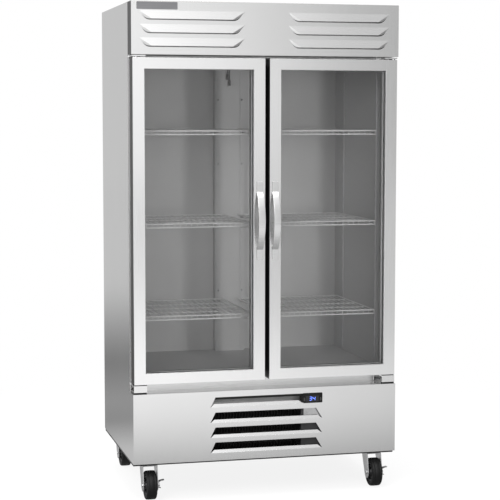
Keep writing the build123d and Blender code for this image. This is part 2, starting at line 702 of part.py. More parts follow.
def bow_handle(side):
    """A flat strip that bows out from two tabs, a little wider in the middle."""
    half, bow = HANDLE_LENGTH / 2, HANDLE_LENGTH / 2 - HANDLE_TAB
    x, z = side * HANDLE_X, HANDLE_Z
    tab_y = FRONT - TAB_THICK
    crest = FRONT - HANDLE_OUT
    spring = bow + HANDLE_THICK
    with BuildPart() as handle:
        with BuildSketch(Plane.YZ.offset(x)):
            with BuildLine():
                Polyline((FRONT, z - bow), (FRONT, z - half), (tab_y, z - half), (tab_y, z - spring))
                ThreePointArc((tab_y, z - spring), (crest, z), (tab_y, z + spring))
                Polyline((tab_y, z + spring), (tab_y, z + half), (FRONT, z + half), (FRONT, z + bow))
                ThreePointArc((FRONT, z + bow), (crest + HANDLE_THICK, z), (FRONT, z - bow))
            make_face()
        extrude(amount=HANDLE_WIDE / 2, both=True)
        with BuildSketch(Plane.XZ.offset(-FRONT)):
            with BuildLine():
                Line((x - HANDLE_NARROW / 2, z - half), (x + HANDLE_NARROW / 2, z - half))
                ThreePointArc(
                    (x + HANDLE_NARROW / 2, z - half),
                    (x + HANDLE_WIDE / 2, z),
                    (x + HANDLE_NARROW / 2, z + half),
                )
                Line((x + HANDLE_NARROW / 2, z + half), (x - HANDLE_NARROW / 2, z + half))
                ThreePointArc(
                    (x - HANDLE_NARROW / 2, z + half),
                    (x - HANDLE_WIDE / 2, z),
                    (x - HANDLE_NARROW / 2, z - half),
                )
            make_face()
        extrude(amount=HANDLE_OUT + 5, mode=Mode.INTERSECT)
    return handle


for side, name in ((-1, "left_door"), (1, "right_door")):
    write(door_fascia(side), f"{name}_fascia")
    write_group(door_frame(side), f"{name}_frame")
    write_group(door_glass(side), f"{name}_glass")
    write(door_gasket(side), f"{name}_gasket")
    write(bow_handle(side), f"{name}_handle")

# ---- casters ----
CASTERS = {
    "front_left": (-CASTER_X, CASTER_FRONT_Y),
    "front_right": (CASTER_X, CASTER_FRONT_Y),
    "rear_left": (-CASTER_X, CASTER_REAR_Y),
    "rear_right": (CASTER_X, CASTER_REAR_Y),
}
PLATE_X, PLATE_Y = 94.0, 84.0
BOLT_X, BOLT_Y = 74.0, 64.0
plates = []
for x, y in CASTERS.values():
    with BuildPart() as plate:
        slab(
            (x - PLATE_X / 2, x + PLATE_X / 2),
            (y - PLATE_Y / 2, y + PLATE_Y / 2),
            (FRAME_LOW - PLATE_THICK, FRAME_LOW),
        )
        fillet(plate.edges().filter_by(Axis.Z), 6.0)
        rod((x, y, CROWN_TOP + 0.3), (x, y, FRAME_LOW - PLATE_THICK), 24.0)
        rod((x, y, CROWN_TOP - FORK_THICK - 5), (x, y, CROWN_TOP + 0.3), KING_R)
        rod((x, y, CROWN_TOP - FORK_THICK - 5), (x, y, CROWN_TOP - FORK_THICK - 0.3), 10.0)
        with Locations((x, y, FRAME_LOW - PLATE_THICK - 3.0)):
            with GridLocations(BOLT_X, BOLT_Y, 2, 2):
                Cylinder(5.5, 3.0, align=(Align.CENTER, Align.CENTER, Align.MIN))
    plates.append(plate)
write_group(plates, "caster_plates")

BRAKE_T = 3.0
NUT, NUT_R = 6.0, 8.0
HEAD = 3.5
LEG_END = 28.0


def caster_fork(x, y, braked):
    """A pressed fork: a crown that swivels under the plate, and two legs down to the axle."""
    axle_y = y - TRAIL
    with BuildPart() as fork:
        for side in (-1, 1):
            with BuildSketch(Plane.YZ.offset(x + side * (FORK_HALF - FORK_THICK / 2))):
                with Locations((y - 1, CROWN_TOP - FORK_THICK)):
                    Rectangle(76.0, 2 * FORK_THICK)
                with Locations((axle_y + 4, WHEEL_R)):
                    Circle(LEG_END)
                make_hull()
            extrude(amount=FORK_THICK / 2, both=True)
        slab(
            (x - FORK_HALF, x + FORK_HALF),
            (y - 39, y + 37),
            (CROWN_TOP - FORK_THICK, CROWN_TOP),
        )
        slab(
            (x - FORK_HALF, x + FORK_HALF),
            (y - 50, y + 50),
            (CROWN_TOP, CROWN_TOP + 10),
            Mode.SUBTRACT,
        )
        rod((x, y, CROWN_TOP - 10), (x, y, CROWN_TOP + 5), KING_R + RUNNING, Mode.SUBTRACT)
        rod(
            (x - FORK_HALF - 5, axle_y, WHEEL_R),
            (x + FORK_HALF + 5, axle_y, WHEEL_R),
            AXLE_R,
            Mode.SUBTRACT,
        )
    nut_at = x + FORK_HALF + (BRAKE_T + 0.6 if braked else 0)
    with BuildPart() as axle:
        rod((x - FORK_HALF, axle_y, WHEEL_R), (nut_at, axle_y, WHEEL_R), AXLE_R)
        with BuildSketch(Plane.YZ.offset(x - FORK_HALF)):
            with Locations((axle_y, WHEEL_R)):
                RegularPolygon(NUT_R, 6)
        extrude(amount=-HEAD)
        with BuildSketch(Plane.YZ.offset(nut_at)):
            with Locations((axle_y, WHEEL_R)):
                RegularPolygon(NUT_R, 6)
        extrude(amount=NUT)
    return [fork, axle]


def caster_wheel(x, y):
    """A hub that turns on the axle, and the tyre around it."""
    axle_y = y - TRAIL
    with BuildPart() as hub:
        rod((x - HUB_DISC / 2, axle_y, WHEEL_R), (x + HUB_DISC / 2, axle_y, WHEEL_R), HUB_R)
        rod((x - HUB_WIDE / 2, axle_y, WHEEL_R), (x + HUB_WIDE / 2, axle_y, WHEEL_R), 15.0)
        rod((x - 30, axle_y, WHEEL_R), (x + 30, axle_y, WHEEL_R), AXLE_R + RUNNING, Mode.SUBTRACT)
    with BuildPart() as tyre:
        rod((x - WHEEL_WIDE / 2, axle_y, WHEEL_R), (x + WHEEL_WIDE / 2, axle_y, WHEEL_R), WHEEL_R)
        fillet(tyre.edges(), TYRE_ROUND)
        rod((x - 30, axle_y, WHEEL_R), (x + 30, axle_y, WHEEL_R), HUB_R, Mode.SUBTRACT)
    return [hub, tyre]


def brake_lever(x, y):
    """A side lever on the axle's end: a round eye, a tab that reaches out and up, and a short tail."""
    axle_y = y - TRAIL
    plate_x = x + FORK_HALF + 0.3
    with BuildPart() as lever:
        rod((plate_x, axle_y, WHEEL_R), (plate_x + BRAKE_T, axle_y, WHEEL_R), 13.0)
        with BuildSketch(Plane.XZ.offset(-axle_y)):
            with BuildLine():
                Polyline(
                    (plate_x, WHEEL_R + 9.5),
                    (plate_x, WHEEL_R + 12.5),
                    (plate_x + 12, WHEEL_R + 19),
                    (plate_x + 28, WHEEL_R + 22),
                    (plate_x + 28, WHEEL_R + 19),
                    (plate_x + 13, WHEEL_R + 16),
                    (plate_x + 3, WHEEL_R + 10.5),
                    (plate_x + 3, WHEEL_R + 9.5),
                    close=True,
                )
            make_face()
            with BuildLine():
                Polyline(
                    (plate_x, WHEEL_R - 9.5),
                    (plate_x + 3, WHEEL_R - 9.5),
                    (plate_x + 13, WHEEL_R - 13),
                    (plate_x + 13, WHEEL_R - 16),
                    (plate_x, WHEEL_R - 12.5),
                    close=True,
                )
            make_face()
        extrude(amount=9.0, both=True)
        rod(
            (plate_x - 1, axle_y, WHEEL_R),
            (plate_x + BRAKE_T + 1, axle_y, WHEEL_R),
            AXLE_R + RUNNING,
            Mode.SUBTRACT,
        )
    return lever


for name, (x, y) in CASTERS.items():
    braked = name.startswith("front")
    write_group(caster_fork(x, y, braked), f"caster_fork_{name}")
    write_group(caster_wheel(x, y), f"caster_wheel_{name}")
    if braked:
        write(brake_lever(x, y), f"caster_brake_{name}")

# ---- condensing unit ----
FIN_COUNT = 28
with BuildPart() as condenser_coil:
    slab(COIL_X, COIL_Y, COIL_Z)
    fin_pitch = (COIL_X[1] - COIL_X[0] - 20) / FIN_COUNT
    with Locations((sum(COIL_X) / 2, COIL_Y[0] + 6, sum(COIL_Z) / 2)):
        with GridLocations(fin_pitch, 1, FIN_COUNT, 1):
            Box(fin_pitch * 0.6, 12, COIL_Z[1] - COIL_Z[0] - 16, mode=Mode.SUBTRACT)
    for i in range(5):
        z = COIL_Z[0] + 30 + 50 * i
        rod((COIL_X[0] + 2, COIL_Y[0] + 7, z), (COIL_X[1] - 2, COIL_Y[0] + 7, z), 4.0)
write(condenser_coil, "condenser_coil")

SHROUD_Y = (COIL_Y[1], COIL_Y[1] + 30)
with BuildPart() as condenser_shroud:
    slab(COIL_X, SHROUD_Y, COIL_Z)
    slab(inset(COIL_X, SKIN), (SHROUD_Y[0], SHROUD_Y[1] - SKIN), inset(COIL_Z, SKIN), Mode.SUBTRACT)
    rod((FAN_X, SHROUD_Y[0], FAN_Z), (FAN_X, SHROUD_Y[1], FAN_Z), FAN_R + 6, Mode.SUBTRACT)
write(condenser_shroud, "condenser_shroud")

FAN_HUB_R, BLADE_COUNT, SHAFT_R = 24.0, 4, 4.0


def fan_blade(plane):
    """An axial fan: a hub with pitched blades, its shaft bore along the plane's normal."""
    blade_long = FAN_R - FAN_HUB_R + 4
    with BuildPart(plane) as fan:
        Cylinder(FAN_HUB_R, 22)
        with PolarLocations(FAN_HUB_R - 4 + blade_long / 2, BLADE_COUNT):
            Box(blade_long, 44, 2.0, rotation=(28, 0, 0))
        Cylinder(SHAFT_R + RUNNING, 60, mode=Mode.SUBTRACT)
    return fan


condenser_fan_at = Plane((FAN_X, SHROUD_Y[1] - 4, FAN_Z), x_dir=(1, 0, 0), z_dir=(0, 1, 0))
evaporator_fan_at = Plane((0, EVAP_FAN_Y, EVAP_PAN_Z + 14), x_dir=(1, 0, 0), z_dir=(0, 0, 1))
write(fan_blade(condenser_fan_at), "condenser_fan_blade")
write(fan_blade(evaporator_fan_at), "evaporator_fan_blade")


def fan_motor(plane, foot):
    """A small motor behind a fan, its shaft through the fan's hub, on a strap with two arms."""
    arm = FAN_R + 38.0
    bottom = (Align.CENTER, Align.CENTER, Align.MIN)
    with BuildPart(plane) as motor:
        with Locations((0, 0, 18)):
            Cylinder(38, 52, align=bottom)
        fillet(motor.edges(), 5.0)
        with Locations((0, 0, -14)):
            Cylinder(SHAFT_R, 34, align=bottom)
        with Locations((0, 0, 70)):
            Box(2 * arm, 24, 3.0, align=bottom)
        for side in (-1, 1):
            with Locations((side * (arm - 1.5), 0, foot)):
                Box(3.0, 24, 73 - foot, align=bottom)
    return motor


condenser_foot = SHROUD_Y[1] - condenser_fan_at.origin.Y
evaporator_foot = EVAP_PAN_Z + SKIN - evaporator_fan_at.origin.Z
write_group(
    [fan_motor(condenser_fan_at, condenser_foot), fan_motor(evaporator_fan_at, evaporator_foot)],
    "fan_motors",
)

with BuildPart() as compressor:
    base = (Align.CENTER, Align.CENTER, Align.MIN)
    with Locations((COMPRESSOR_X, COMPRESSOR_Y, DECK_Z + 18)):
        Cylinder(80, 176, align=base)
    fillet(compressor.edges(), 34.0)
    with Locations((COMPRESSOR_X, COMPRESSOR_Y, DECK_Z + 104)):
        Cylinder(84, 7, align=base)
    with Locations((COMPRESSOR_X, COMPRESSOR_Y, DECK_Z + 14)):
        Box(210, 150, 4, align=base)
    with Locations((COMPRESSOR_X, COMPRESSOR_Y, DECK_Z)):
        with GridLocations(176, 116, 2, 2):
            Cylinder(11, 14, align=base)
    with Locations((COMPRESSOR_X + 92, COMPRESSOR_Y, DECK_Z + 60)):
        Box(40, 70, 70, align=base)
write(compressor, "compressor")

PIPE_R = 4.5


def pipe(points, bend):
    """A copper pipe: straight runs joined by bends of one radius."""
    with BuildPart() as tube:
        with BuildLine() as route:
            FilletPolyline(*points, radius=bend)
        start = Vector(*points[0])
        ahead = Vector(*points[1]) - start
        with BuildSketch(Plane(start, z_dir=ahead.normalized())):
            Circle(PIPE_R)
        sweep(path=route.wires()[0])
    return tube


dome_top = DECK_Z + 18 + 176
drier_z = DECK_Z + 60
pipe_x = COIL_X[1] + PIPE_R + 5
discharge = pipe(
    [
        (COMPRESSOR_X + 20, COMPRESSOR_Y, dome_top + 0.3),
        (COMPRESSOR_X + 20, COMPRESSOR_Y, dome_top + 40),
        (pipe_x, COMPRESSOR_Y, dome_top + 40),
        (pipe_x, COIL_Y[0] + 7, dome_top + 40),
        (pipe_x, COIL_Y[0] + 7, COIL_Z[1] - 16),
    ],
    20.0,
)
liquid = pipe(
    [
        (pipe_x, COIL_Y[0] + 7, COIL_Z[0] + 20),
        (pipe_x, COIL_Y[0] + 7, drier_z),
        (pipe_x, 20, drier_z),
        (300, 20, drier_z),
        (300, 80, drier_z),
    ],
    14.0,
)
suction = pipe(
    [
        (COMPRESSOR_X - 20, COMPRESSOR_Y, dome_top + 0.3),
        (COMPRESSOR_X - 20, COMPRESSOR_Y, dome_top + 50),
        (COMPRESSOR_X - 20, 330, dome_top + 50),
        (COMPRESSOR_X - 20, 330, BOX_LOW - 0.3),
    ],
    24.0,
)
with BuildPart() as drier:
    rod((300, 80.3, drier_z), (300, 190, drier_z), 18.0)
    fillet(drier.edges(), 8.0)
write_group([discharge, liquid, suction, drier], "refrigerant_pipes")

BOX_X, BOX_Y, BOX_Z = (160.0, 330.0), (-366.0, -288.0), (DECK_Z, 384.0)
with BuildPart() as electrical_box:
    slab(BOX_X, BOX_Y, BOX_Z)
    slab(inset(BOX_X, LINER), (BOX_Y[0] + 8, BOX_Y[1] - LINER), inset(BOX_Z, LINER), Mode.SUBTRACT)
write(electrical_box, "electrical_box")

# ---- evaporator, above the door opening ----
EVAP_X, EVAP_Y = (-420.0, 420.0), (-232.0, 366.0)
with BuildPart() as evaporator_housing:
    slab(EVAP_X, EVAP_Y, (EVAP_PAN_Z, CEILING_Z))
    slab(inset(EVAP_X, SKIN), inset(EVAP_Y, SKIN), (EVAP_PAN_Z + SKIN, CEILING_Z), Mode.SUBTRACT)
    rod((0, EVAP_FAN_Y, EVAP_PAN_Z), (0, EVAP_FAN_Y, EVAP_PAN_Z + SKIN), FAN_R + 6, Mode.SUBTRACT)
    duct_x = inset((-DUCT_HALF, DUCT_HALF), SKIN)
    slab(duct_x, (DUCT_FRONT + SKIN, EVAP_Y[1] - SKIN), (EVAP_PAN_Z, EVAP_PAN_Z + SKIN), Mode.SUBTRACT)
write(evaporator_housing, "evaporator_housing")

EVAP_COIL_X, EVAP_COIL_Y, EVAP_COIL_Z = (-360.0, 360.0), (150.0, 300.0), (1926.0, 2080.0)
with BuildPart() as evaporator_coil:
    slab(EVAP_COIL_X, EVAP_COIL_Y, EVAP_COIL_Z)
    with Locations((0, EVAP_COIL_Y[0] + 6, sum(EVAP_COIL_Z) / 2)):
        with GridLocations(24.0, 1, FIN_COUNT, 1):
            Box(14.0, 12, EVAP_COIL_Z[1] - EVAP_COIL_Z[0] - 16, mode=Mode.SUBTRACT)
    for side in (-1, 1):
        x = side * (EVAP_COIL_X[1] + 20)
        slab((x - 2, x + 2), EVAP_COIL_Y, (EVAP_PAN_Z + SKIN, EVAP_COIL_Z[1]))
        for z in (1950.0, 1990.0, 2030.0):
            rod((side * EVAP_COIL_X[1], 200, z), (x, 200, z), 5.0)
write(evaporator_coil, "evaporator_coil")

with BuildPart() as air_sensor:
    for x, low in ((-14.0, 1845.0), (-4.0, 1817.0)):
        rod((x, 308, low + 26), (x, 308, EVAP_PAN_Z), 2.0)
        rod((x, 308, low), (x, 308, low + 26), 5.5)
write(air_sensor, "air_sensor")
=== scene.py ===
from math import cos, pi, radians, sin

import bmesh
import bpy
from mathutils import Matrix, Vector


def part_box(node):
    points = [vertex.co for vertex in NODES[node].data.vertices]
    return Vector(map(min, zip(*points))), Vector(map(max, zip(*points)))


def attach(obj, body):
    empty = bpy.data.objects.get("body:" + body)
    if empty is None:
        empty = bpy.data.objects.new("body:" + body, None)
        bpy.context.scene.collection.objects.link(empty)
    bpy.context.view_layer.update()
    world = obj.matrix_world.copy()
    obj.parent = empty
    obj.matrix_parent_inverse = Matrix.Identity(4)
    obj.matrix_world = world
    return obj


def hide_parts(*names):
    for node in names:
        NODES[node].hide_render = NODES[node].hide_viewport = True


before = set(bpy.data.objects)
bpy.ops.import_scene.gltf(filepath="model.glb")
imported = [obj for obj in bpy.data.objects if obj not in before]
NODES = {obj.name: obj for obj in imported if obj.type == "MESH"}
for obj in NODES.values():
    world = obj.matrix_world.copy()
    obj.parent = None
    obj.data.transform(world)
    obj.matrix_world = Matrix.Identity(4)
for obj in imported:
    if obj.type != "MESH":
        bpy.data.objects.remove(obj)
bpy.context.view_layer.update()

MM = 0.001

# ---------------------------------------------------------------------------
# materials
# ---------------------------------------------------------------------------


class Tree:
    """A small helper around one material's node tree."""

    def __init__(self, name):
        self.material = bpy.data.materials.new(name)
        self.material.use_nodes = True
        self.nodes = self.material.node_tree.nodes
        self.links = self.material.node_tree.links
        self.shader = self.nodes["Principled BSDF"]
        self.place = self.nodes.new("ShaderNodeTexCoord").outputs["Object"]

    def scaled(self, scale):
        """Object coordinates stretched by a scale on each axis."""
        mapping = self.nodes.new("ShaderNodeMapping")
        mapping.inputs["Scale"].default_value = scale
        self.links.new(self.place, mapping.inputs["Vector"])
        return mapping.outputs["Vector"]

    def noise(self, scale, detail=3.0, at=None, rough=0.55):
        node = self.nodes.new("ShaderNodeTexNoise")
        node.inputs["Scale"].default_value = scale
        node.inputs["Detail"].default_value = detail
        node.inputs["Roughness"].default_value = rough
        self.links.new(at or self.place, node.inputs["Vector"])
        return node.outputs["Fac"]

    def cells(self, scale, output="Color"):
        node = self.nodes.new("ShaderNodeTexVoronoi")
        node.inputs["Scale"].default_value = scale
        self.links.new(self.place, node.inputs["Vector"])
        return node.outputs[output]

    def ramp(self, value, stops):
        """A colour ramp; each stop is a position with a grey level or a colour."""
        node = self.nodes.new("ShaderNodeValToRGB")
        node.color_ramp.elements[0].position = stops[0][0]
        node.color_ramp.elements[1].position = stops[-1][0]
        for position, _ in stops[1:-1]:
            node.color_ramp.elements.new(position)
        for element, (_, level) in zip(node.color_ramp.elements, stops):
            colour = (level,) * 3 if isinstance(level, float) else level
            element.color = (*colour, 1.0)
        self.links.new(value, node.inputs["Fac"])
        return node.outputs["Color"]

    def spread(self, value, low, high):
        """Moves a 0 to 1 value into a range."""
        node = self.nodes.new("ShaderNodeMapRange")
        node.inputs["From Min"].default_value = 0.25
        node.inputs["From Max"].default_value = 0.75
        node.inputs["To Min"].default_value = low
        node.inputs["To Max"].default_value = high
        self.links.new(value, node.inputs["Value"])
        return node.outputs["Result"]

    def bump(self, height, strength, distance, before=None):
        node = self.nodes.new("ShaderNodeBump")
        node.inputs["Strength"].default_value = strength
        node.inputs["Distance"].default_value = distance
        self.links.new(height, node.inputs["Height"])
        if before is not None:
            self.links.new(before, node.inputs["Normal"])
        return node.outputs["Normal"]

    def drive(self, socket, value):
        self.links.new(value, self.shader.inputs[socket])

    def fix(self, socket, value):
        self.shader.inputs[socket].default_value = value


def brushed(name, dark, light, rough, grain, metal=1.0, strength=0.12, side=None):
    """Brushed sheet steel. grain is the stretch of the brush marks on each axis, and side is how
    dark the faces that look along X are painted, as a share of the rest: painted shade."""
    tree = Tree(name)
    marks = tree.noise(1.0, 4.0, tree.scaled(grain), 0.7)
    smudge = tree.noise(2.3, 2.0)
    colour = tree.ramp(marks, ((0.3, dark), (0.7, light)))
    tree.drive("Base Color", colour if side is None else painted_side_shade(tree, colour, side))
    mixed = tree.nodes.new("ShaderNodeMath")
    mixed.operation = "ADD"
    tree.links.new(tree.spread(marks, rough - 0.04, rough + 0.04), mixed.inputs[0])
    tree.links.new(tree.spread(smudge, -0.025, 0.025), mixed.inputs[1])
    tree.drive("Roughness", mixed.outputs["Value"])
    tree.drive("Normal", tree.bump(marks, strength, 0.00005))
    tree.fix("Metallic", metal)
    return tree.material


def painted_side_shade(tree, colour, level):
    """Paints shade into the colour of the faces that look along X."""
    split = tree.nodes.new("ShaderNodeSeparateXYZ")
    tree.links.new(tree.nodes["Texture Coordinate"].outputs["Normal"], split.inputs["Vector"])
    side = tree.nodes.new("ShaderNodeMath")
    side.operation = "ABSOLUTE"
    tree.links.new(split.outputs["X"], side.inputs[0])
    shade = tree.ramp(side.outputs["Value"], ((0.80, 1.0), (0.95, level)))
    mix = tree.nodes.new("ShaderNodeMix")
    mix.data_type = "RGBA"
    mix.blend_type = "MULTIPLY"
    mix.inputs["Factor"].default_value = 1.0
    tree.links.new(colour, mix.inputs["A"])
    tree.links.new(shade, mix.inputs["B"])
    return mix.outputs["Result"]


def plain(
    name, dark, light, rough, scale, bump=0.1, depth=0.0003, metal=0.0, spots=None, shine=0.5
):
    """Paint, plastic, rubber or cast metal: mottled colour, uneven gloss and a fine bump.
    spots is the scale of a cell pattern that takes the fine bump's place."""
    tree = Tree(name)
    fine = tree.noise(scale, 5.0)
    broad = tree.noise(scale / 18, 2.0)
    tree.drive("Base Color", tree.ramp(broad, ((0.3, dark), (0.7, light))))
    tree.drive("Roughness", tree.spread(fine, rough - 0.06, rough + 0.06))
    height = fine if spots is None else tree.cells(spots, "Distance")
    tree.drive("Normal", tree.bump(height, bump, depth))
    tree.fix("Metallic", metal)
    tree.fix("Specular IOR Level", shine)
    return tree.material


def spangled(name, dark, light, rough, scale):
    """Hot-dip galvanised steel, with its crystal pattern."""
    tree = Tree(name)
    crystal = tree.cells(scale)
    tree.drive("Base Color", tree.ramp(crystal, ((0.15, dark), (0.85, light))))
    tree.drive("Roughness", tree.spread(crystal, rough - 0.08, rough + 0.08))
    tree.drive("Normal", tree.bump(tree.noise(220.0), 0.08, 0.0002))
    tree.fix("Metallic", 0.9)
    return tree.material


def finned(name, dark, light, pitch):
    """A stack of thin fins, drawn as fine bands across X."""
    tree = Tree(name)
    wave = tree.nodes.new("ShaderNodeTexWave")
    wave.bands_direction = "X"
    wave.inputs["Scale"].default_value = 1.0 / (pitch * 6.2832 * 0.5)
    wave.inputs["Distortion"].default_value = 0.15
    tree.links.new(tree.place, wave.inputs["Vector"])
    bands = wave.outputs["Fac"]
    tree.drive("Base Color", tree.ramp(bands, ((0.2, dark), (0.8, light))))
    tree.drive("Roughness", tree.spread(tree.noise(60.0), 0.35, 0.5))
    tree.drive("Normal", tree.bump(bands, 0.6, 0.0008))
    tree.fix("Metallic", 0.8)
    return tree.material


def pane_glass(name, tint, mirror):
    """Clear glass for thin panes: it lets light straight through and mirrors a little."""
    tree = Tree(name)
    shader = tree.shader
    tree.drive("Base Color", tree.ramp(tree.noise(1.4, 2.0), ((0.3, 0.03), (0.7, 0.05))))
    tree.drive("Roughness", tree.spread(tree.noise(3.0, 3.0), 0.0, 0.05))
    tree.fix("IOR", 1.5)
    clear = tree.nodes.new("ShaderNodeBsdfTransparent")
    film = tree.ramp(tree.noise(2.2, 3.0), ((0.3, tint), (0.7, tuple(c + 0.015 for c in tint))))
    tree.links.new(film, clear.inputs["Color"])
    fresnel = tree.nodes.new("ShaderNodeFresnel")
    fresnel.inputs["IOR"].default_value = mirror
    mix = tree.nodes.new("ShaderNodeMixShader")
    tree.links.new(fresnel.outputs["Fac"], mix.inputs["Fac"])
    tree.links.new(clear.outputs["BSDF"], mix.inputs[1])
    tree.links.new(shader.outputs["BSDF"], mix.inputs[2])
    tree.fix("Metallic", 1.0)
    tree.links.new(mix.outputs["Shader"], tree.nodes["Material Output"].inputs["Surface"])
    return tree.material


def glowing(name, colour, strength):
    """A lit display segment."""
    tree = Tree(name)
    tree.drive("Base Color", tree.ramp(tree.noise(900.0), ((0.3, 0.02), (0.7, 0.05))))
    glow = tree.ramp(tree.noise(600.0), ((0.2, tuple(c * 0.85 for c in colour)), (0.8, colour)))
    tree.drive("Emission Color", glow)
    tree.fix("Emission Strength", strength)
    return tree.material


UP_GRAIN = (900.0, 900.0, 9.0)
ACROSS_GRAIN = (9.0, 9.0, 900.0)
STEEL_DARK, STEEL_LIGHT = (0.765, 0.765, 0.765), (0.815, 0.815, 0.815)
MATERIALS = {
    "stainless": brushed("stainless", STEEL_DARK, STEEL_LIGHT, 0.20, UP_GRAIN),
    "stainless_across": brushed("stainless_across", STEEL_DARK, STEEL_LIGHT, 0.24, ACROSS_GRAIN),
    "stainless_soft": brushed(
        "stainless_soft", (0.82, 0.82, 0.82), (0.88, 0.88, 0.88), 0.30, ACROSS_GRAIN, 0.85, 0.05
    ),
    "stainless_bright": brushed(
        "stainless_bright", (0.80, 0.80, 0.80), (0.88, 0.88, 0.88), 0.16, UP_GRAIN, strength=0.05
    ),
    # the handles' faces that look along X get painted shade, at 0.2 of the rest
    "satin": brushed(
        "satin_chrome", (0.68, 0.68, 0.68), (0.78, 0.78, 0.78), 0.3, ACROSS_GRAIN,
        strength=0.08, side=0.2,
    ),
    "liner": brushed("liner_metal", (0.66, 0.66, 0.66), (0.72, 0.72, 0.72), 0.5, UP_GRAIN, 0.1),
    "galvanised": spangled("galvanised", (0.30, 0.30, 0.31), (0.40, 0.40, 0.41), 0.50, 70.0),
    "zinc": plain("zinc", (0.50, 0.50, 0.50), (0.66, 0.66, 0.67), 0.30, 260.0, 0.12, metal=1.0),
    "lever": plain("lever_zinc", (0.36, 0.36, 0.36), (0.52, 0.52, 0.52), 0.36, 260.0, metal=1.0),
    "black_paint": plain("black_paint", (0.012, 0.012, 0.013), (0.022, 0.022, 0.023), 0.42, 420.0),
    "black_plastic": plain(
        "black_plastic", (0.004, 0.004, 0.004), (0.008, 0.008, 0.008), 0.5, 700.0, shine=0.25
    ),
    "frame_plastic": plain("frame_plastic", (0.012, 0.012, 0.012), (0.02, 0.02, 0.02), 0.5, 700.0),
    "trim": plain("trim_plastic", (0.66, 0.66, 0.66), (0.72, 0.72, 0.72), 0.5, 500.0),
    # grey of the strips in the gap between the doors and the header: painted shade
    "strip": plain("gap_painted_shade_grey", (0.34, 0.34, 0.34), (0.40, 0.40, 0.40), 0.5, 500.0),
    "rubber": plain("gasket_rubber", (0.014, 0.014, 0.014), (0.024, 0.024, 0.024), 0.62, 900.0),
    "tyre": plain(
        "tyre_rubber", (0.005, 0.005, 0.005), (0.009, 0.009, 0.009), 0.6, 500.0, 0.2, shine=0.25
    ),
    "hub": plain(
        "hub_plastic", (0.022, 0.022, 0.023), (0.035, 0.035, 0.036), 0.4, 300.0, shine=0.3
    ),
    "epoxy": plain("epoxy_wire", (0.84, 0.84, 0.84), (0.92, 0.92, 0.92), 0.3, 500.0),
    "foam": plain(
        "foam", (0.50, 0.40, 0.22), (0.62, 0.52, 0.30), 0.9, 90.0, 0.5, 0.002, spots=180.0
    ),
    "copper": plain("copper", (0.58, 0.24, 0.12), (0.74, 0.36, 0.20), 0.28, 130.0, metal=1.0),
    # near black coil: painted shade of the deep space behind the grille's slots
    "coil": finned("coil_metal", (0.012, 0.012, 0.012), (0.03, 0.03, 0.03), 0.0025),
    "display": plain("display", (0.004, 0.004, 0.006), (0.009, 0.009, 0.012), 0.10, 30.0, 0.02),
    "badge": brushed("badge", (0.20, 0.20, 0.21), (0.27, 0.27, 0.28), 0.35, ACROSS_GRAIN, 0.8),
    "button": plain("button_plastic", (0.03, 0.03, 0.03), (0.045, 0.045, 0.045), 0.3, 800.0),
    "pane": pane_glass("glass", (0.975, 0.975, 0.975), 1.38),
    "digits": glowing("display_digits", (0.12, 0.22, 1.0), 2.6),
    "sensor": plain("sensor_plastic", (0.22, 0.22, 0.22), (0.28, 0.28, 0.28), 0.4, 600.0),
}

# ---------------------------------------------------------------------------
# CAD pieces: finishes, rounded edges
# ---------------------------------------------------------------------------

FINISHES = {
    "stainless": "left_side_panel right_side_panel back_panels top_panel header_panel grille_panel "
    "hinge_brackets",
    "stainless_soft": "door_surround",
    "stainless_bright": "left_door_fascia right_door_fascia",
    "satin": "left_door_handle right_door_handle",
    "liner": "inner_liner rear_air_duct shelf_pilasters evaporator_housing",
    "galvanised": "condenser_shroud",
    "zinc": "caster_plates caster_fork_front_left caster_fork_front_right caster_fork_rear_left "
    "caster_fork_rear_right shelf_clips",
    "lever": "caster_brake_front_left caster_brake_front_right",
    "black_paint": "base_frame compressor header_end_caps fan_motors electrical_box",
    "black_plastic": "controller_housing cord_gland condenser_fan_blade evaporator_fan_blade",
    "frame_plastic": "left_door_frame right_door_frame centre_mullion",
    "rubber": "left_door_gasket right_door_gasket",
    "tyre": "caster_wheel_front_left caster_wheel_front_right caster_wheel_rear_left "
    "caster_wheel_rear_right",
    "epoxy": "shelf_left_bottom shelf_left_middle shelf_left_top shelf_right_bottom "
    "shelf_right_middle shelf_right_top",
    "foam": "insulation_foam",
    "copper": "refrigerant_pipes",
    "coil": "condenser_coil evaporator_coil",
    "sensor": "air_sensor",
    "display": "controller_display",
    "badge": "badge_plate",
    "button": "controller_left_button controller_right_button",
    "pane": "left_door_glass right_door_glass",
}
ROUNDED = {
    "left_door_handle": 1.4, "right_door_handle": 1.4, "hinge_brackets": 0.6, "caster_plates": 0.6,
    "caster_fork_front_left": 0.7, "caster_fork_front_right": 0.7, "caster_fork_rear_left": 0.7,
    "caster_fork_rear_right": 0.7, "caster_brake_front_left": 0.7,
    "caster_brake_front_right": 0.7, "badge_plate": 0.3,
}

for finish, names in FINISHES.items():
    for name in names.split():
        piece = NODES[name]
        piece.data.materials.clear()
        piece.data.materials.append(MATERIALS[finish])


def round_edges(piece, width, weld=True):
    """Rounds a piece's edges, so that each catches the light as a folded or cut edge does."""
    if weld:
        join = piece.modifiers.new("join", "WELD")
        join.merge_threshold = 0.00001
    bevel = piece.modifiers.new("edges", "BEVEL")
    bevel.width = width * MM
    bevel.segments = 2
    bevel.limit_method = "ANGLE"
    bevel.angle_limit = radians(35)
    bevel.harden_normals = False
    weighted = piece.modifiers.new("shading", "WEIGHTED_NORMAL")
    weighted.keep_sharp = True


for name, width in ROUNDED.items():
    round_edges(NODES[name], width)

# ---------------------------------------------------------------------------
# mesh helpers for the pieces that are built here
# ---------------------------------------------------------------------------


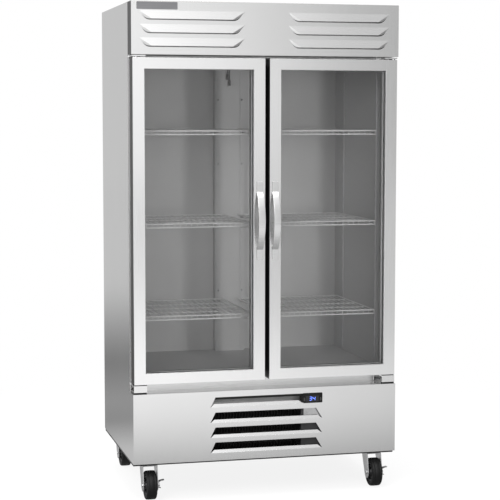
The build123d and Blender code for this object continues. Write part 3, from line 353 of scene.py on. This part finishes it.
def make(name, build, material, body, stands_for=(), width=0.0, smooth=True):
    """Builds one piece with a function that fills a bmesh, and puts it on its body."""
    mesh = bpy.data.meshes.new(name)
    bm = bmesh.new()
    build(bm)
    bmesh.ops.recalc_face_normals(bm, faces=bm.faces)
    bm.to_mesh(mesh)
    bm.free()
    for polygon in mesh.polygons:
        polygon.use_smooth = smooth
    mesh.materials.append(MATERIALS[material])
    piece = bpy.data.objects.new(name, mesh)
    bpy.context.scene.collection.objects.link(piece)
    if width:
        round_edges(piece, width, weld=False)
    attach(piece, body)
    if stands_for:
        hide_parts(*stands_for)
    return piece


def add_box(bm, low, high):
    """A block between two corners, in metres."""
    matrix = Matrix.Translation((Vector(low) + Vector(high)) / 2)
    size = Vector(high) - Vector(low)
    bmesh.ops.create_cube(bm, size=1.0, matrix=matrix @ Matrix.Diagonal((*size, 1.0)))


def add_lathe(bm, profile, centre, axis, steps=48):
    """Turns a closed profile of (radius, along) points about an axis through centre."""
    turn = Vector((0, 0, 1)).rotation_difference(Vector(axis)).to_matrix()
    rings = []
    for i in range(steps):
        angle = 2 * pi * i / steps
        ring = []
        for radius, along in profile:
            point = turn @ Vector((radius * cos(angle), radius * sin(angle), along))
            ring.append(bm.verts.new(Vector(centre) + point))
        rings.append(ring)
    count = len(profile)
    for i in range(steps):
        here, there = rings[i], rings[(i + 1) % steps]
        for j in range(count):
            k = (j + 1) % count
            bm.faces.new((here[j], there[j], there[k], here[k]))


def add_ring(bm, profile, low, high):
    """Sweeps a closed profile of (outward, y) points around a rectangle in the XZ plane."""
    corners = ((low[0], low[1]), (high[0], low[1]), (high[0], high[1]), (low[0], high[1]))
    signs = ((-1, -1), (1, -1), (1, 1), (-1, 1))
    loops = []
    for (x, z), (sx, sz) in zip(corners, signs):
        loops.append([bm.verts.new((x + sx * out, y, z + sz * out)) for out, y in profile])
    for i in range(4):
        here, there = loops[i], loops[(i + 1) % 4]
        for j in range(len(profile)):
            k = (j + 1) % len(profile)
            bm.faces.new((here[j], there[j], there[k], here[k]))


def pan_head(bm, centre, normal, radius=0.0036, height=0.0017):
    """A pan-head screw: a domed head with a round driver recess."""
    profile = (
        (0.0002, 0.0), (radius, 0.0), (radius, 0.3 * height), (0.86 * radius, 0.75 * height),
        (0.55 * radius, height), (0.40 * radius, height), (0.30 * radius, 0.35 * height),
        (0.0002, 0.30 * height),
    )
    add_lathe(bm, profile, centre, normal, 20)


# ---------------------------------------------------------------------------
# doors: glass units, gaskets, trims
# ---------------------------------------------------------------------------


def rect_of(node):
    """The X and Z limits of a node, as (low corner, high corner), and its Y limits."""
    low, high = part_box(node)
    return (low.x, low.z), (high.x, high.z), (low.y, high.y)


PANE = 0.004  # glass thickness
SPACER_OUT, SPACER_IN = 0.002, 0.0105  # how far the spacer's two faces lie inside the unit's edge
SEAL_WIDTH = 0.018
STILE, RAIL = 0.0505, 0.048  # width of a door's upright and level bars
SKIN = 0.0004  # thickness of the trim that lines a door's opening
FASCIA_LIP = 0.0022  # how far the lining starts behind the door's face

for side in ("left", "right"):
    door = f"{side}_door"
    low, high, (front, back) = rect_of(f"{door}_glass")

    def panes(bm):
        add_box(bm, (low[0], front, low[1]), (high[0], front + PANE, high[1]))
        add_box(bm, (low[0], back - PANE, low[1]), (high[0], back, high[1]))

    def spacer_bars(bm):
        y0, y1 = front + PANE, back - PANE
        section = (
            (-SPACER_OUT, y0), (-SPACER_OUT, y1), (-SPACER_IN, y1),
            (-SPACER_IN - 0.0004, (y0 + y1) / 2), (-SPACER_IN, y0),
        )
        add_ring(bm, section, low, high)

    make(f"{door}_panes", panes, "pane", door, (f"{door}_glass",), 0.4)
    make(f"{door}_spacer", spacer_bars, "trim", door, (), 0.3)

    low, high, (front, back) = rect_of(f"{door}_gasket")
    span = back - front

    def bellows(bm):
        # each point: how far out from the seal's outer edge, and its share of the seal's depth
        outer = (
            (0.0, 0.0), (0.0, 0.12), (-0.0022, 0.22), (-0.0006, 0.36), (-0.0026, 0.50),
            (-0.0008, 0.64), (-0.0004, 0.86), (-0.0030, 1.0),
        )
        inner = (
            (0.0030, 1.0), (0.0004, 0.86), (0.0008, 0.64), (0.0026, 0.50), (0.0006, 0.36),
            (0.0022, 0.22), (0.0, 0.12), (0.0, 0.0),
        )
        section = [(out, front + share * span) for out, share in outer]
        section += [(out - SEAL_WIDTH, front + share * span) for out, share in inner]
        add_ring(bm, section, low, high)

    make(f"{door}_seal", bellows, "rubber", door, (f"{door}_gasket",), 0.5)

    edge_low, edge_high, (face, _) = rect_of(f"{door}_fascia")
    _, _, (_, frame_back) = rect_of(f"{door}_frame")
    open_low = (edge_low[0] + STILE, edge_low[1] + RAIL)
    open_high = (edge_high[0] - STILE, edge_high[1] - RAIL)
    _, _, (glass_front, glass_back) = rect_of(f"{door}_glass")
    ahead = (face + FASCIA_LIP, glass_front - 0.0004)
    behind = (glass_back + 0.0006, frame_back)

    def reveal(bm):
        for near, far in (ahead, behind):
            section = ((-SKIN, near), (-SKIN, far), (-2 * SKIN, far), (-2 * SKIN, near))
            add_ring(bm, section, open_low, open_high)

    make(f"{door}_reveal", reveal, "trim", door)

# ---------------------------------------------------------------------------
# casters: tyres and hubs
# ---------------------------------------------------------------------------


def tyre_profile(half):
    """A solid rubber tyre: a crowned tread with two shallow lines, and rounded shoulders."""
    shoulder = 0.0065
    points = [(0.0422, 0.001 - half), (0.050, 0.0002 - half), (0.0565, -half)]
    for i in range(7):
        angle = radians(15 * i)
        points.append((0.0565 + shoulder * sin(angle), shoulder - half - shoulder * cos(angle)))
    groove = 0.011 - half
    points += [(0.0632, groove), (0.0626, groove + 0.0006), (0.0626, groove + 0.0014)]
    points.append((0.0635, groove + 0.002))
    mirrored = [(radius, -along) for radius, along in reversed(points)]
    return points + mirrored


def hub_profile(half):
    """A moulded wheel body: a rim, a thin web, and a boss around the axle."""
    boss = half + 0.0025
    points = [
        (0.0424, 0.0030 - half), (0.0380, 0.0028 - half), (0.0360, 0.0040 - half),
        (0.0345, 0.0110 - half), (0.0220, 0.0120 - half), (0.0175, 0.0060 - half),
        (0.0160, 0.0015 - boss), (0.0140, -boss), (0.0080, -boss), (0.0052, 0.0005 - boss),
    ]
    mirrored = [(radius, -along) for radius, along in reversed(points)]
    return points + mirrored


TYRE_HALF = 0.023
for corner in ("front_left", "front_right", "rear_left", "rear_right"):
    node = f"caster_wheel_{corner}"
    low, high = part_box(node)
    centre = (low + high) / 2
    body = f"wheel_{corner}"

    def tyre(bm):
        add_lathe(bm, tyre_profile(TYRE_HALF), centre, (1, 0, 0), 72)

    def hub(bm):
        add_lathe(bm, hub_profile(TYRE_HALF), centre, (1, 0, 0), 48)

    make(f"caster_tyre_{corner}", tyre, "tyre", body, (node,))
    make(f"caster_hub_{corner}", hub, "hub", body, (), 0.5)

# ---------------------------------------------------------------------------
# screws
# ---------------------------------------------------------------------------


def screws(name, places, normal, body="cabinet", radius=0.0036, material="zinc"):
    def heads(bm):
        for place in places:
            pan_head(bm, place, normal, radius)

    make(name, heads, material, body)


duct_low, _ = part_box("rear_air_duct")
_, pilaster_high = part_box("shelf_pilasters")
places = []
for side in (-1, 1):
    for i in range(4):
        z = pilaster_high.z - 0.135 - 0.305 * i
        places.append((side * 0.058, duct_low.y - 0.005, z))
screws("pilaster_screws", places, (0, -1, 0), radius=0.0046, material="lever")

_, back_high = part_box("back_panels")
places = []
for x in (-0.575, -0.29, 0.0, 0.29, 0.575):
    for z in (0.495, back_high.z - 0.02):
        places.append((x, back_high.y, z))
for side in (-1, 1):
    for i in range(1, 6):
        places.append((side * 0.575, back_high.y, 0.495 + i * 0.272))
screws("back_screws", places, (0, 1, 0))
places = [(side * 0.575, back_high.y - 0.006, z) for side in (-1, 1) for z in (0.2, 0.33, 0.455)]
screws("guard_screws", places, (0, 1, 0))

# ---------------------------------------------------------------------------
# painted shade in the gaps around the doors, a dark strip behind the grille, bearing pads, and a
# lid with painted light
# ---------------------------------------------------------------------------
header_low, header_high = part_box("header_panel")
grille_low, grille_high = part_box("grille_panel")
fascia_low, fascia_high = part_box("right_door_fascia")
housing_low, housing_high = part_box("controller_housing")
surround_low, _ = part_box("door_surround")
bracket_low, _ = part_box("hinge_brackets")
box_low, box_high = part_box("electrical_box")


STRIP_END, STRIP_DEEP, STRIP_HIGH = 0.075, 0.0012, 0.0075
DARK_STRIP_LEFT, DARK_STRIP_HIGH, DARK_STRIP_THICK = -0.262, 0.0115, 0.004
PAD_AND_SHADE_DEEP = 0.020
LID_THICK, LID_INSET = 0.0012, 0.012
# how far out each block starts and ends, the level it is set from, and its underside and top; the
# first two rows are painted shade in the gaps above and below each hinge plate, the last two are
# bearing pads above the doors
PADS_AND_SHADE = (
    (0.536, 0.590, fascia_low.z, -0.0039, -0.0006),
    (0.537, 0.592, grille_high.z, 0.0002, 0.0062),
    (0.560, 0.570, fascia_high.z, 0.0008, 0.0038),
    (0.580, 0.584, fascia_high.z, 0.0008, 0.0038),
)


def painted_gap_shade(bm):
    """Two grey strips on the door surround, in the gap between the doors and the header: painted
    shade of that recess.
    """
    half, y = header_high.x - STRIP_END, surround_low.y
    for z in (fascia_high.z - 0.002, header_low.z - 0.003):
        add_box(bm, (-half, y - STRIP_DEEP, z), (half, y, z + STRIP_HIGH))


def grille_dark_strip(bm):
    """A black strip behind the top edge of the grille's first slot."""
    y = grille_low.y + 0.0013
    low = (DARK_STRIP_LEFT, y, housing_high.z - DARK_STRIP_HIGH)
    add_box(bm, low, (housing_low.x - 0.001, y + DARK_STRIP_THICK, grille_high.z - 0.012))


def hinge_pads_and_painted_shade(bm):
    """Black blocks: painted shade in the gaps above and below each hinge plate, and bearing pads
    above the doors' outer top corners.
    """
    y = bracket_low.y + 0.0015
    for side in (-1, 1):
        for near, far, level, under, top in PADS_AND_SHADE:
            x0, x1 = sorted((side * near, side * far))
            add_box(bm, (x0, y, level + under), (x1, y + PAD_AND_SHADE_DEEP, level + top))


def box_lid_painted_light(bm):
    """A bare metal lid on the upper part of the electrical box's face, held on by two screws; its
    brightness on the black box is painted light from above.
    """
    face = box_low.y - LID_THICK
    low = (box_low.x + LID_INSET, face, box_high.z - 0.044)
    add_box(bm, low, (box_high.x - LID_INSET, box_low.y, box_high.z - 0.004))
    for x in (box_low.x + 0.022, box_high.x - 0.022):
        pan_head(bm, (x, face, box_high.z - 0.024), (0, -1, 0))


make("electrical_box_lid_painted_light", box_lid_painted_light, "zinc", "cabinet", (), 0.3)
make("header_gap_painted_shade", painted_gap_shade, "strip", "cabinet", (), 0.3)
make("grille_top_dark_strip", grille_dark_strip, "black_plastic", "cabinet", (), 0.3)
make("hinge_pads_and_painted_shade", hinge_pads_and_painted_shade, "black_plastic", "cabinet", (), 0.3)

# ---------------------------------------------------------------------------
# controller digits
# ---------------------------------------------------------------------------
SEGMENTS = {
    "top": (0.0, 1.0, 1), "middle": (0.0, 0.0, 1), "bottom": (0.0, -1.0, 1),
    "high_left": (-1.0, 0.5, 0), "high_right": (1.0, 0.5, 0),
    "low_left": (-1.0, -0.5, 0), "low_right": (1.0, -0.5, 0),
}
DIGITS = (
    ("top", "high_right", "middle", "low_right", "bottom"),
    ("high_left", "high_right", "middle", "low_right"),
)
screen_low, screen_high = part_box("controller_display")


def digits(bm):
    """Two digits of a seven-segment display, leaning a little."""
    half_wide, half_high, thick = 0.0052, 0.0074, 0.0012
    middle_z = (screen_low.z + screen_high.z) / 2
    y = screen_low.y - 0.00015
    for index, lit in enumerate(DIGITS):
        centre_x = screen_low.x + 0.0225 + index * 0.0155
        for name in lit:
            across, along, flat = SEGMENTS[name]
            x = centre_x + across * half_wide + along * half_high * 0.12
            z = middle_z + along * half_high
            long, short = (half_wide * 0.86, thick) if flat else (thick, half_high * 0.43)
            corners = (
                (x - long, z), (x - long * 0.75, z + short), (x + long * 0.75, z + short),
                (x + long, z), (x + long * 0.75, z - short), (x - long * 0.75, z - short),
            )
            if not flat:
                corners = (
                    (x, z + short), (x + long, z + short * 0.85), (x + long, z - short * 0.85),
                    (x, z - short), (x - long, z - short * 0.85), (x - long, z + short * 0.85),
                )
            front = [bm.verts.new((cx, y, cz)) for cx, cz in corners]
            rear = [bm.verts.new((cx, y + 0.0003, cz)) for cx, cz in corners]
            bm.faces.new(front)
            bm.faces.new(rear[::-1])
            for i in range(6):
                j = (i + 1) % 6
                bm.faces.new((front[i], rear[i], rear[j], front[j]))


make("display_digits", digits, "digits", "cabinet", smooth=False)

# ---------------------------------------------------------------------------
# studio: floor, light, camera
# ---------------------------------------------------------------------------
WHITE = (1.0, 1.0, 1.0, 1.0)


def grey_ramp(tree, value, stops):
    """A ramp of light levels; levels above 1 are kept by scaling the ramp back up."""
    top = max(level for _, level in stops)
    ramp = tree.ramp(value, [(position, level / top) for position, level in stops])
    scale = tree.nodes.new("ShaderNodeVectorMath")
    scale.operation = "SCALE"
    scale.inputs["Scale"].default_value = top
    tree.links.new(ramp, scale.inputs[0])
    return scale.outputs["Vector"]


def mapped(tree, value, low, high, to_low=0.0, to_high=1.0):
    """A value moved from one range to another, and held inside it."""
    node = tree.nodes.new("ShaderNodeMapRange")
    for socket, number in zip(
        ("From Min", "From Max", "To Min", "To Max"), (low, high, to_low, to_high)
    ):
        node.inputs[socket].default_value = number
    tree.links.new(value, node.inputs["Value"])
    return node.outputs["Result"]


# painted light levels of the floor in reflections, by Y; the low levels near the cabinet are
# painted shadow of the cabinet
FLOOR_SPAN = (-6.0, 8.0)
FLOOR_LEVELS = (
    (-6.0, 1.05), (-3.2, 1.14), (-2.2, 0.98), (-1.4, 0.66), (-0.9, 0.46), (-0.3, 0.36),
    (0.1, 0.55), (0.7, 0.55), (1.4, 0.28), (2.0, 0.32), (3.4, 0.20), (6.5, 0.50), (8.0, 0.60),
)


def floor_material():
    """A pale floor. The camera sees it near white, and the steel mirrors painted light in bands: an
    emission, with painted shadow of the cabinet on the floor near it and painted light that dims to
    the right.
    """
    tree = Tree("floor")
    nodes, links = tree.nodes, tree.links
    tree.drive("Base Color", tree.ramp(tree.noise(1.2, 2.0), ((0.3, 0.93), (0.7, 0.95))))
    tree.fix("Roughness", 0.9)
    gleam = nodes.new("ShaderNodeEmission")
    gleam.inputs["Color"].default_value = WHITE
    length = nodes.new("ShaderNodeVectorMath")
    length.operation = "LENGTH"
    links.new(tree.place, length.inputs[0])
    seen = nodes.new("ShaderNodeMixShader")
    links.new(mapped(tree, length.outputs["Value"], 0.5, 2.6, 0.86, 1.0), seen.inputs["Fac"])
    links.new(tree.shader.outputs["BSDF"], seen.inputs[1])
    links.new(gleam.outputs["Emission"], seen.inputs[2])
    split = nodes.new("ShaderNodeSeparateXYZ")
    links.new(tree.place, split.inputs["Vector"])
    depth = mapped(tree, split.outputs["Y"], *FLOOR_SPAN)
    length_y = FLOOR_SPAN[1] - FLOOR_SPAN[0]
    stops = [((y - FLOOR_SPAN[0]) / length_y, level) for y, level in FLOOR_LEVELS]
    bands = grey_ramp(tree, depth, stops)
    fall = mapped(tree, split.outputs["X"], 0.2, 2.2, 1.0, 0.62)
    dimmed = nodes.new("ShaderNodeVectorMath")
    dimmed.operation = "SCALE"
    links.new(bands, dimmed.inputs[0])
    links.new(fall, dimmed.inputs["Scale"])
    painted_floor_light = nodes.new("ShaderNodeEmission")
    links.new(dimmed.outputs["Vector"], painted_floor_light.inputs["Color"])
    path = nodes.new("ShaderNodeLightPath")
    both = nodes.new("ShaderNodeMixShader")
    links.new(path.outputs["Is Camera Ray"], both.inputs["Fac"])
    links.new(painted_floor_light.outputs["Emission"], both.inputs[1])
    links.new(seen.outputs["Shader"], both.inputs[2])
    links.new(both.outputs["Shader"], nodes["Material Output"].inputs["Surface"])
    return tree.material


bpy.ops.mesh.primitive_plane_add(size=60.0, location=(0, 0, 0))
floor = bpy.context.object
floor.name = "studio_floor"
floor.data.materials.append(floor_material())


# light level by the cosine of the angle from the brightest direction
WORLD_LEVELS = (
    (-1.0, 0.62), (-0.5, 0.60), (0.2, 0.60), (0.60, 0.34), (0.73, 0.32), (0.79, 0.60),
    (0.83, 0.98), (0.87, 1.15), (1.0, 1.20),
)
# light level of the sky by how far right it is
SKY_SPAN, SKY_LEVELS = (0.10, 0.30), ((0.0, 1.70), (1.0, 0.60))


def studio_world():
    """A soft white surround, brightest in front, to the left and above, dimmer to the right.
    The camera itself sees plain white behind the object."""
    world = bpy.data.worlds.new("studio")
    bpy.context.scene.world = world
    world.use_nodes = True
    tree = Tree.__new__(Tree)
    tree.nodes, tree.links = world.node_tree.nodes, world.node_tree.links
    nodes, links = tree.nodes, tree.links
    nodes.clear()
    place = nodes.new("ShaderNodeTexCoord").outputs["Generated"]
    turn = nodes.new("ShaderNodeVectorMath")
    turn.operation = "DOT_PRODUCT"
    turn.inputs[1].default_value = (-sin(radians(20)), -cos(radians(20)), 0.0)
    links.new(place, turn.inputs[0])
    facing = mapped(tree, turn.outputs["Value"], -1.0, 1.0)
    stops = [((cosine + 1) / 2, level) for cosine, level in WORLD_LEVELS]
    around = grey_ramp(tree, facing, stops)
    split = nodes.new("ShaderNodeSeparateXYZ")
    links.new(place, split.inputs["Vector"])
    blend = nodes.new("ShaderNodeMix")
    blend.data_type = "RGBA"
    links.new(mapped(tree, split.outputs["Z"], 0.18, 0.55), blend.inputs["Factor"])
    links.new(around, blend.inputs["A"])
    sky = grey_ramp(tree, mapped(tree, split.outputs["X"], *SKY_SPAN), SKY_LEVELS)
    links.new(sky, blend.inputs["B"])
    lit = nodes.new("ShaderNodeBackground")
    links.new(blend.outputs["Result"], lit.inputs["Color"])
    white = nodes.new("ShaderNodeBackground")
    white.inputs["Color"].default_value = WHITE
    path = nodes.new("ShaderNodeLightPath")
    mix = nodes.new("ShaderNodeMixShader")
    links.new(path.outputs["Is Camera Ray"], mix.inputs["Fac"])
    links.new(lit.outputs["Background"], mix.inputs[1])
    links.new(white.outputs["Background"], mix.inputs[2])
    out = nodes.new("ShaderNodeOutputWorld")
    links.new(mix.outputs["Shader"], out.inputs["Surface"])


studio_world()


def soft_box(name, place, aim, size, power, glossy=True):
    """An area light that looks at a point, and may be left out of reflections."""
    data = bpy.data.lights.new(name, "AREA")
    data.shape = "RECTANGLE"
    data.size, data.size_y = size
    data.energy = power
    lamp = bpy.data.objects.new(name, data)
    lamp.location = place
    lamp.rotation_euler = (Vector(aim) - Vector(place)).to_track_quat("-Z", "Y").to_euler()
    lamp.visible_glossy = glossy
    bpy.context.scene.collection.objects.link(lamp)


soft_box("key", (-3.6, -4.2, 4.2), (0, 0, 1.1), (2.4, 2.4), 160.0)
soft_box("top", (0.0, -0.5, 5.0), (0, 0, 1.0), (3.0, 3.0), 120.0)
soft_box("inside", (1.07, -6.2, 1.45), (-0.1, 0, 1.25), (0.4, 1.6), 75.0, glossy=False)

# the photograph's own view, from a fit of the cabinet's corners
camera_data = bpy.data.cameras.new("camera")
camera_data.sensor_width = 36.0
camera_data.lens = 108.74
camera = bpy.data.objects.new("camera", camera_data)
camera.location = (-1.6939, -6.7349, 1.6744)
camera.rotation_euler = (radians(84.921), radians(-0.058), radians(-14.26))
bpy.context.scene.collection.objects.link(camera)
bpy.context.scene.camera = camera
bpy.context.scene.view_settings.view_transform = "Standard"
